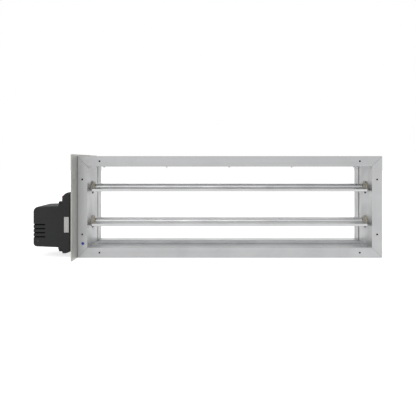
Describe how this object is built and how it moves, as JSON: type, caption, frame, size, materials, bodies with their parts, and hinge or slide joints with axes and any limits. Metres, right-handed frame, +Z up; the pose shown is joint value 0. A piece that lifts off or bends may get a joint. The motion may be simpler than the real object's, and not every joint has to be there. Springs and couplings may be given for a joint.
{
  "type": "volume control damper",
  "caption": "Rectangular duct volume control damper: mitred flanged aluminium frame, opposed geared airfoil blades in nylon bushes and a side-mounted electric actuator.",
  "frame": {"origin": "on the duct's centre line, in the outer face of the front flange (the centre of its fixing-hole pattern)", "axes": "+X across the duct away from the actuator, +Y along the airflow from the front flange to the rear one, +Z up"},
  "size_m": [0.86, 0.249, 0.254],
  "materials": {
    "frame_aluminium": "mill-finish extruded aluminium with fine die lines along each length",
    "blade_aluminium": "mill-finish extruded aluminium, a little brighter than the frame",
    "plate_aluminium": "rolled aluminium sheet, duller, with faint rolling lines",
    "bush_nylon": "natural nylon, cream",
    "gear_nylon": "black glass-filled nylon",
    "zinc_steel": "bright zinc-plated steel",
    "black_screws": "black phosphated steel",
    "rivet_aluminium": "aluminium blind rivets",
    "actuator_black": "fine-textured black moulded plastic",
    "gland_black": "smooth black nylon",
    "button_red": "red moulded plastic",
    "label_white": "plain white self-adhesive label",
    "board_green": "green circuit board",
    "marking_blue": "blue marking paint"
  },
  "bodies": {
    "frame": {"top_rail": "frame_aluminium", "bottom_rail": "frame_aluminium", "left_post": "frame_aluminium", "right_post": "frame_aluminium", "front_corner_cleats": "frame_aluminium", "rear_corner_cleats": "frame_aluminium", "top_blade_stop": "blade_aluminium", "bottom_blade_stop": "blade_aluminium", "actuator_plate": "plate_aluminium", "upper_right_bush": "bush_nylon", "upper_left_bush": "bush_nylon", "lower_right_bush": "bush_nylon", "lower_left_bush": "bush_nylon", "anti_rotation_bracket": "zinc_steel", "bracket_screws": "zinc_steel", "gear_motor": "zinc_steel", "bush_screws": "black_screws", "cover_screws": "black_screws", "terminal_screw": "black_screws", "blade_stop_rivets": "rivet_aluminium", "plate_rivets": "rivet_aluminium", "actuator_base": "actuator_black", "actuator_cover": "actuator_black", "cable_gland": "gland_black", "gland_nut": "gland_black", "rating_label": "label_white", "circuit_board": "board_green", "inspection_dot": "marking_blue"},
    "lower_blade_set": {"lower_blade": "blade_aluminium", "lower_blade_screws": "zinc_steel", "drive_shaft": "zinc_steel", "lower_right_shaft": "zinc_steel", "lower_gear": "gear_nylon", "lower_shaft_clips": "zinc_steel", "output_hub": "zinc_steel", "output_sector": "gear_nylon", "clamp_u_bolt": "zinc_steel", "clamp_nuts": "zinc_steel"},
    "upper_blade_set": {"upper_blade": "blade_aluminium", "upper_blade_screws": "zinc_steel", "upper_left_shaft": "zinc_steel", "upper_right_shaft": "zinc_steel", "upper_gear": "gear_nylon", "upper_shaft_clips": "zinc_steel"},
    "motor_pinion_set": {"motor_pinion": "gear_nylon"},
    "release_button_set": {"release_button": "button_red"}
  },
  "joints": [
    {"name": "lower_blade_turn", "type": "hinge", "parent": "frame", "child": "lower_blade_set", "pos_m": [0, 0.054, -0.042], "axis": [1, 0, 0], "range_deg": [-88.9, 1.1]},
    {"name": "upper_blade_turn", "type": "hinge", "parent": "frame", "child": "upper_blade_set", "pos_m": [0, 0.054, 0.0455], "axis": [1, 0, 0], "range_deg": [-1.1, 88.9]},
    {"name": "motor_pinion_turn", "type": "hinge", "parent": "frame", "child": "motor_pinion_set", "pos_m": [-0.4195, 0.07275, -0.07448], "axis": [1, 0, 0], "range_deg": [-3, 208]},
    {"name": "release_press", "type": "slide", "parent": "frame", "child": "release_button_set", "axis": [0.96, 0, -0.28], "range_m": [0, 0.002], "stiffness_N_per_m": 600, "springref_m": -0.001}
  ],
  "couplings": [
    {"joint": "upper_blade_turn", "follows": "lower_blade_turn", "ratio": -1},
    {"joint": "motor_pinion_turn", "follows": "lower_blade_turn", "ratio": -2.3333}
  ]
}
